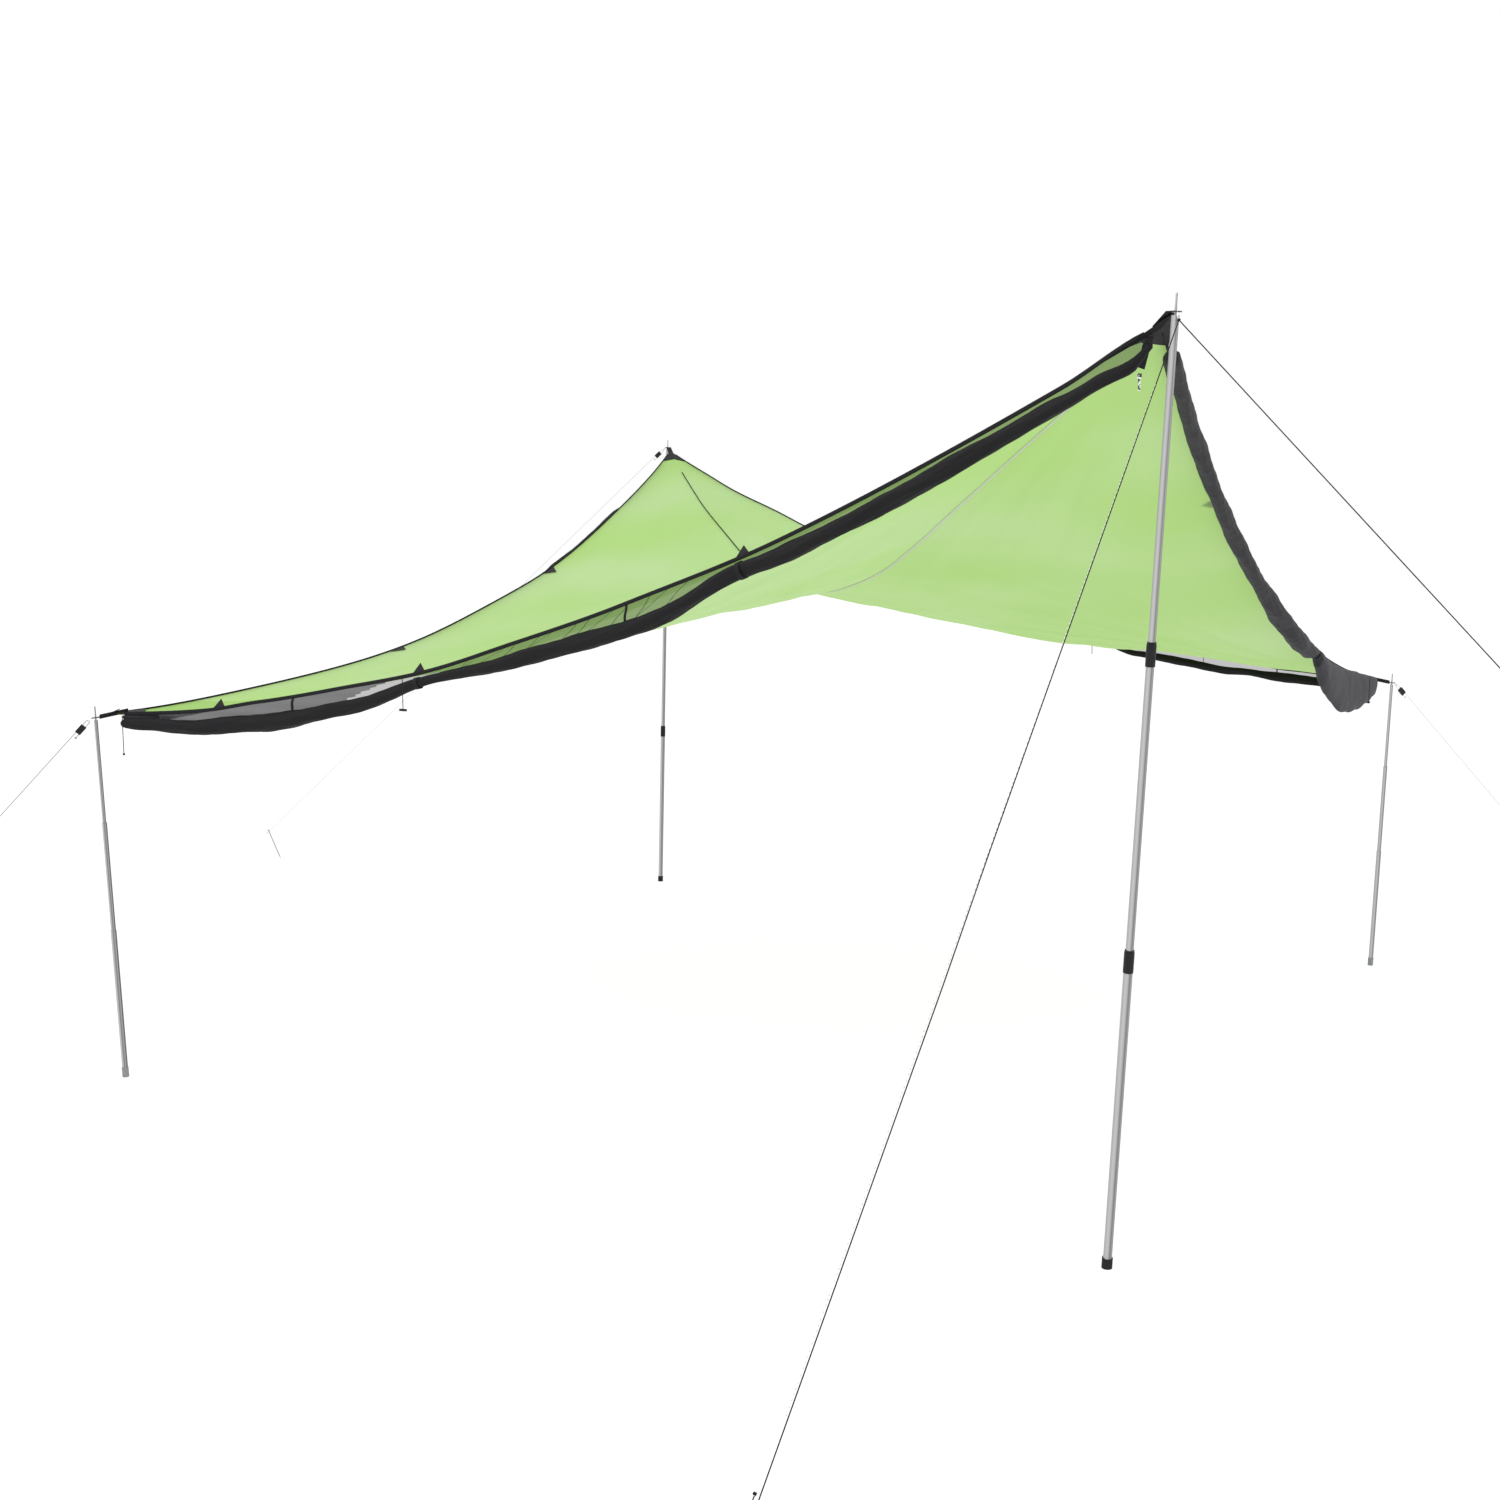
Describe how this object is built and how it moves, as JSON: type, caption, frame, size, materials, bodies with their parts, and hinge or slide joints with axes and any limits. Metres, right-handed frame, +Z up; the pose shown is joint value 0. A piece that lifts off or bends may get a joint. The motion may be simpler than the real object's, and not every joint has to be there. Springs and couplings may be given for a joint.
{
  "type": "tarp shelter",
  "caption": "Square ridge tarp on four telescoping poles, with guylines, ground pegs and rolled net walls under its hems.",
  "frame": {"origin": "on the ground under the middle of the ridge, at the middle of the shelter's box", "axes": "+Z up, +Y along the ridge to the rear pole, +X to the right low corner"},
  "size_m": [7.2248, 7.4826, 2.3588],
  "materials": {
    "alloy": "satin",
    "cloth": "satin",
    "cord": "matte",
    "cord_grey": "matte",
    "eyelet": "satin",
    "ferrule": "satin",
    "net": "matte",
    "patch": "matte",
    "plastic": "satin",
    "ring": "gloss",
    "rubber": "matte",
    "steel": "satin",
    "tape": "matte",
    "webbing": "matte"
  },
  "bodies": {
    "canopy_group": {"canopy": "cloth", "ridge_piping": "webbing", "ridge_tape": "tape", "edge_hem": "webbing", "corner_patches": "patch", "corner_tabs": "webbing", "grommets": "eyelet", "tie_out_patches": "patch", "net_front_left": "net", "net_front_right": "net", "net_rear_left": "net", "net_rear_right": "net", "roll_ties": "webbing", "door_strap": "webbing", "guy_rings": "ring", "guy_front_right": "cord", "guy_front_left": "cord", "guy_rear_left": "cord_grey", "guy_left": "cord_grey", "guy_right": "cord_grey", "guy_knots": "cord", "ground_pegs": "steel"},
    "front_top": {"front_top_tube": "alloy", "front_tip": "alloy", "front_top_bush": "plastic"},
    "front_middle": {"front_mid_tube": "alloy", "front_mid_bush": "plastic"},
    "front_base": {"front_base_tube": "alloy", "front_foot": "rubber"},
    "front_upper_lock": {"front_upper_lock": "plastic"},
    "front_lower_lock": {"front_lower_lock": "plastic"},
    "rear_top": {"rear_top_tube": "alloy", "rear_tip": "alloy", "rear_top_bush": "plastic"},
    "rear_middle": {"rear_mid_tube": "alloy", "rear_mid_bush": "plastic"},
    "rear_base": {"rear_base_tube": "alloy", "rear_foot": "rubber"},
    "rear_upper_lock": {"rear_upper_lock": "plastic"},
    "rear_lower_lock": {"rear_lower_lock": "plastic"},
    "left_top": {"left_top_tube": "alloy", "left_tip": "alloy"},
    "left_middle": {"left_mid_tube": "alloy"},
    "left_base": {"left_base_tube": "alloy", "left_foot": "ferrule"},
    "right_top": {"right_top_tube": "alloy", "right_tip": "alloy"},
    "right_middle": {"right_mid_tube": "alloy"},
    "right_base": {"right_base_tube": "alloy", "right_foot": "ferrule"},
    "lock_front_right": {"lock_front_right": "plastic"},
    "lock_front_left": {"lock_front_left": "plastic"},
    "lock_rear_left": {"lock_rear_left": "plastic"},
    "lock_left": {"lock_left": "plastic"},
    "lock_right": {"lock_right": "plastic"},
    "toggle_front_left_upper": {"toggle_front_left_upper": "plastic"},
    "toggle_front_left_lower": {"toggle_front_left_lower": "plastic"},
    "toggle_rear_left": {"toggle_rear_left": "plastic"},
    "toggle_front_right": {"toggle_front_right": "plastic"},
    "zip_slider": {"zip_slider": "eyelet"}
  },
  "joints": [
    {"name": "front_pole_swing", "type": "hinge", "parent": "canopy_group", "child": "front_top", "pos_m": [0, -2.584, 2.305], "axis": [-1, 0, 0], "range_deg": [-12, 12]},
    {"name": "front_upper_slide", "type": "slide", "parent": "front_top", "child": "front_middle", "axis": [-0.0177, -0.1108, 0.9937], "range_m": [0, 0.66]},
    {"name": "front_lower_slide", "type": "slide", "parent": "front_middle", "child": "front_base", "axis": [-0.0177, -0.1108, 0.9937], "range_m": [0, 0.66]},
    {"name": "front_upper_twist", "type": "hinge", "parent": "front_middle", "child": "front_upper_lock", "pos_m": [0.01336, -2.50028, 1.55413], "axis": [-0.0177, -0.1108, 0.9937], "range_deg": [0, 120]},
    {"name": "front_lower_twist", "type": "hinge", "parent": "front_base", "child": "front_lower_lock", "pos_m": [0.02652, -2.41774, 0.81383], "axis": [-0.0177, -0.1108, 0.9937], "range_deg": [0, 120]},
    {"name": "rear_pole_swing", "type": "hinge", "parent": "canopy_group", "child": "rear_top", "pos_m": [0, 2.584, 2.319], "axis": [1, 0, 0], "range_deg": [-12, 12]},
    {"name": "rear_upper_slide", "type": "slide", "parent": "rear_top", "child": "rear_middle", "axis": [0.0246, 0.0035, 0.9997], "range_m": [0, 0.66]},
    {"name": "rear_lower_slide", "type": "slide", "parent": "rear_middle", "child": "rear_base", "axis": [0.0246, 0.0035, 0.9997], "range_m": [0, 0.66]},
    {"name": "rear_upper_twist", "type": "hinge", "parent": "rear_middle", "child": "rear_upper_lock", "pos_m": [-0.01857, 2.58139, 1.56352], "axis": [0.0246, 0.0035, 0.9997], "range_deg": [0, 120]},
    {"name": "rear_lower_twist", "type": "hinge", "parent": "rear_base", "child": "rear_lower_lock", "pos_m": [-0.03688, 2.57882, 0.81875], "axis": [0.0246, 0.0035, 0.9997], "range_deg": [0, 120]},
    {"name": "left_pole_swing", "type": "hinge", "parent": "canopy_group", "child": "left_top", "pos_m": [-2.553, 0, 1.225], "axis": [0, 1, 0], "range_deg": [-12, 12]},
    {"name": "left_upper_slide", "type": "slide", "parent": "left_top", "child": "left_middle", "axis": [-0.0422, 0.0934, 0.9947], "range_m": [0, 0.32]},
    {"name": "left_lower_slide", "type": "slide", "parent": "left_middle", "child": "left_base", "axis": [-0.0422, 0.0934, 0.9947], "range_m": [0, 0.34]},
    {"name": "right_pole_swing", "type": "hinge", "parent": "canopy_group", "child": "right_top", "pos_m": [2.553, 0, 1.231], "axis": [0, -1, 0], "range_deg": [-12, 12]},
    {"name": "right_upper_slide", "type": "slide", "parent": "right_top", "child": "right_middle", "axis": [0.0065, -0.0309, 0.9995], "range_m": [0, 0.32]},
    {"name": "right_lower_slide", "type": "slide", "parent": "right_middle", "child": "right_base", "axis": [0.0065, -0.0309, 0.9995], "range_m": [0, 0.34]},
    {"name": "lock_front_right_slide", "type": "slide", "parent": "canopy_group", "child": "lock_front_right", "axis": [-0.5652, 0.3677, 0.7385], "range_m": [-0.008, 0.008]},
    {"name": "lock_front_left_slide", "type": "slide", "parent": "canopy_group", "child": "lock_front_left", "axis": [0.4643, 0.3056, 0.8313], "range_m": [-0.008, 0.008]},
    {"name": "lock_rear_left_slide", "type": "slide", "parent": "canopy_group", "child": "lock_rear_left", "axis": [-0.6478, 0.374, -0.6637], "range_m": [-0.008, 0.008]},
    {"name": "lock_left_slide", "type": "slide", "parent": "canopy_group", "child": "lock_left", "axis": [-0.6728, 0, -0.7398], "range_m": [-0.008, 0.008]},
    {"name": "lock_right_slide", "type": "slide", "parent": "canopy_group", "child": "lock_right", "axis": [0.714, 0, -0.7001], "range_m": [-0.008, 0.008]},
    {"name": "toggle_front_left_upper_turn", "type": "hinge", "parent": "canopy_group", "child": "toggle_front_left_upper", "pos_m": [-1.56965, -0.7101, 1.29377], "axis": [0, 0, 1], "range_deg": [-90, 90]},
    {"name": "toggle_front_left_lower_turn", "type": "hinge", "parent": "canopy_group", "child": "toggle_front_left_lower", "pos_m": [-2.46703, -0.01715, 1.09918], "axis": [0, 0, 1], "range_deg": [-90, 90]},
    {"name": "toggle_rear_left_turn", "type": "hinge", "parent": "canopy_group", "child": "toggle_rear_left", "pos_m": [-0.79258, 1.39352, 1.67023], "axis": [0, 0, 1], "range_deg": [-90, 90]},
    {"name": "toggle_front_right_turn", "type": "hinge", "parent": "canopy_group", "child": "toggle_front_right", "pos_m": [2.25282, -0.25999, 1.17944], "axis": [0, 0, 1], "range_deg": [-90, 90]},
    {"name": "zip_slide", "type": "slide", "parent": "canopy_group", "child": "zip_slider", "axis": [0, 0, -1], "range_m": [0, 0.03]}
  ]
}
